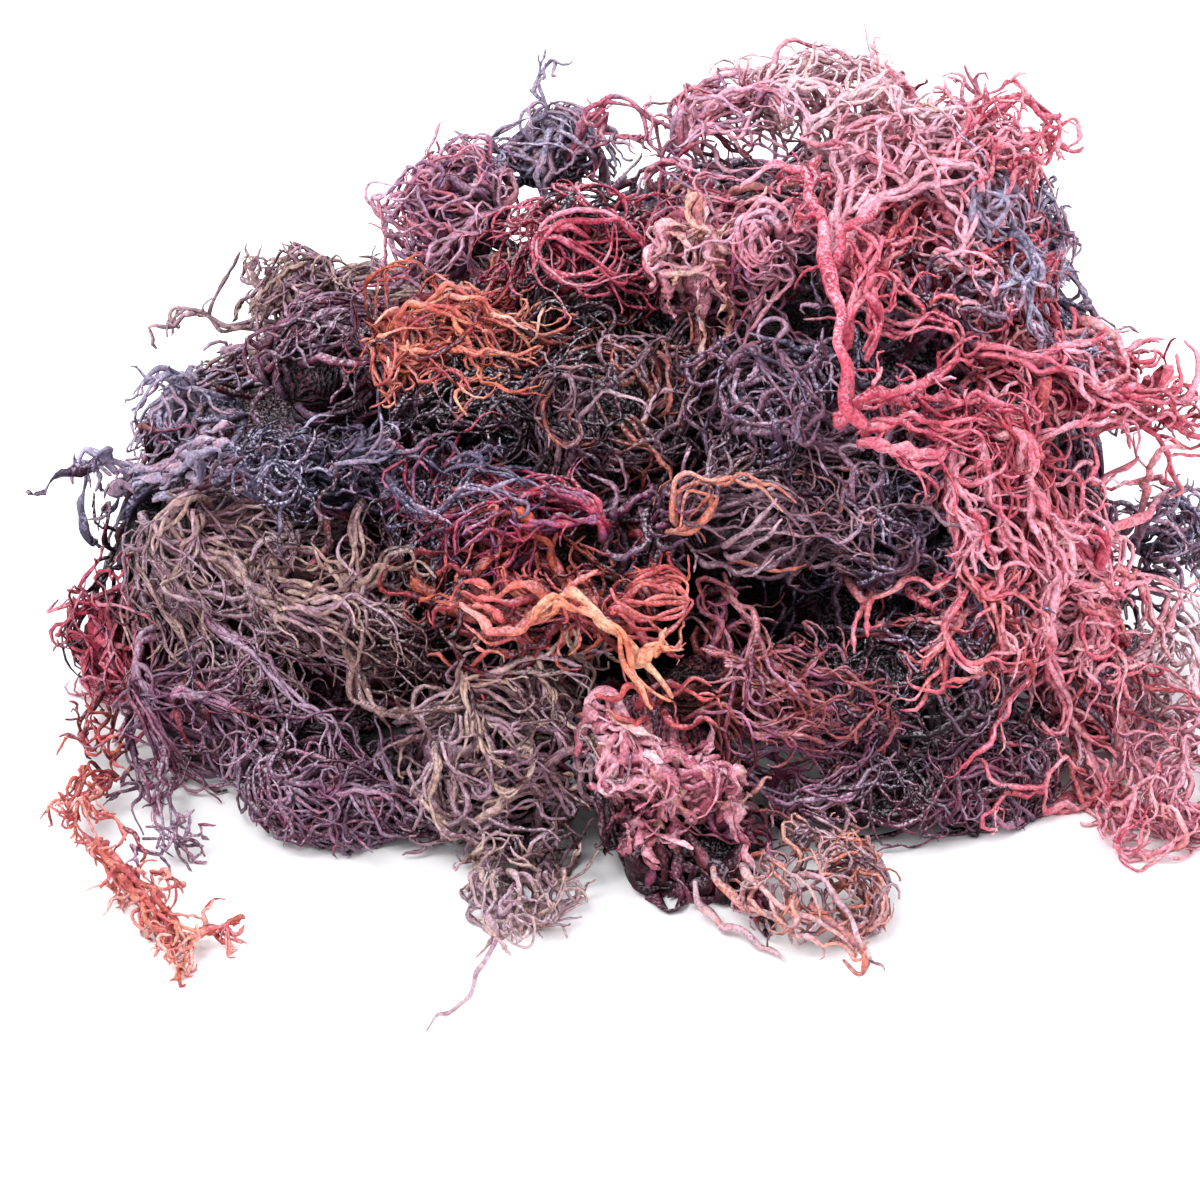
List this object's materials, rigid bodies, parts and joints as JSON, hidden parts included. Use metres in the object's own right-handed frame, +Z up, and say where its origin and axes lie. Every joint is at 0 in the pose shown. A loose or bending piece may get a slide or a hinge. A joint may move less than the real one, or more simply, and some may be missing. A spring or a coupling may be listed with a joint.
{
  "type": "irish moss seaweed",
  "caption": "Matted heap of dried red seaweed, with curled branching fronds in coral, rose, orange, plum and slate, resting on its flat underside.",
  "frame": {"origin": "on the resting surface, under the middle of the heap", "axes": "+Z up from the resting surface, +X to the right and -Y towards the viewer, as in the picture"},
  "size_m": [0.2871, 0.2957, 0.1559],
  "materials": {
    "coral": "satin",
    "rose": "matte",
    "blush": "satin",
    "raspberry": "matte",
    "orange": "matte",
    "plum": "matte",
    "maroon": "matte",
    "slate": "satin",
    "olive": "matte",
    "brown": "matte"
  },
  "bodies": {
    "root": {"coral_main_stem": "coral", "crown_loop_frond": "coral", "coral_side_branch": "coral", "crown_blush_tangle": "blush", "mauve_arch_tuft": "rose", "mauve_rosette": "rose", "cream_tuft": "blush", "pink_upper_web": "rose", "coral_lower_web": "coral", "charcoal_crown_tuft": "slate", "coral_sweep_foot": "coral", "coral_sweep_top": "coral", "coral_sweep_middle": "coral", "coral_net": "coral", "charcoal_right_tuft": "slate", "peach_web": "blush", "raspberry_curls": "raspberry", "slate_knot": "slate", "arched_strand": "rose", "rose_brown_tuft": "rose", "magenta_swirl": "raspberry", "orange_tuft": "orange", "brown_saddle": "brown", "olive_horn": "olive", "plum_shoulder": "plum", "slate_horn": "slate", "lavender_ridge": "slate", "plum_side_tuft": "plum", "raspberry_side_tuft": "raspberry", "orange_fan": "orange", "slate_ridge_tuft": "slate", "plum_hill": "plum", "brown_swirl": "brown", "slate_swirl": "slate", "raspberry_fan": "raspberry", "orange_arcs": "brown", "slate_curl": "slate", "grey_fleece": "olive", "olive_lock": "olive", "red_wad": "maroon", "plum_right_wad": "plum", "trailing_frond": "orange", "grey_looped_frond": "plum", "olive_droop": "olive", "maroon_lobe": "maroon", "coral_tipped_spill": "brown", "blush_tuft": "blush", "olive_net": "olive", "mauve_low_wad": "plum", "plum_low_left": "plum", "plum_low_right": "plum", "back_top_tuft": "plum", "back_rose_tuft": "rose", "back_left_tuft": "olive", "back_right_tuft": "slate", "back_low_left_tuft": "plum", "back_low_middle_tuft": "brown", "back_low_right_tuft": "maroon", "bed_right_tuft": "plum", "bed_left_tuft": "maroon"}
  },
  "joints": []
}
